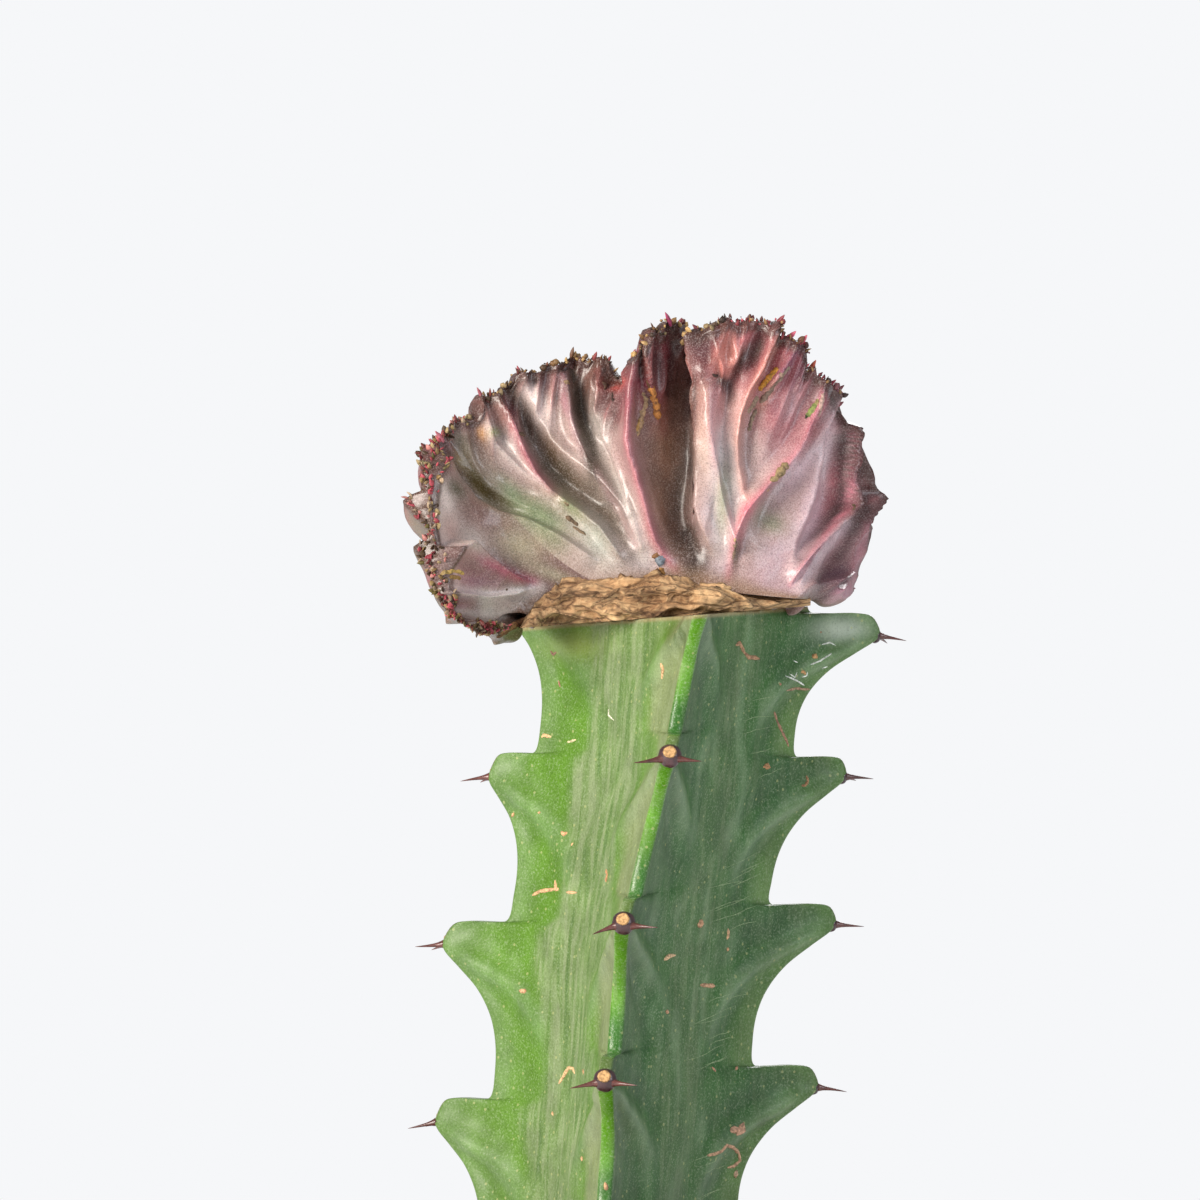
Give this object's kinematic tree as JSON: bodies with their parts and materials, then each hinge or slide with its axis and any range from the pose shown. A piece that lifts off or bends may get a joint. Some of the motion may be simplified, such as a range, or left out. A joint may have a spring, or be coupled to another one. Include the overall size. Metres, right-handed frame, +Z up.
{
  "type": "potted coral cactus",
  "caption": "Grafted coral cactus in a plain clay pot: a crested, coral-like fan head on a corky graft callus and a three-winged green stem with hooked teeth and thorns.",
  "frame": {"origin": "middle of the pot's underside, on the surface it stands on", "axes": "+Z up along the pot, +Y away from the viewer who sees the open face of the fan, +X to that viewer's right"},
  "size_m": [0.12, 0.12, 0.2937],
  "materials": {
    "clay": "matte",
    "soil": "matte",
    "stem_skin": "satin",
    "cork": "matte",
    "crest_skin": "satin",
    "thorn": "satin"
  },
  "bodies": {
    "root": {"pot": "clay", "soil": "soil", "stem": "stem_skin", "graft_callus": "cork", "crest": "crest_skin"}
  },
  "joints": []
}
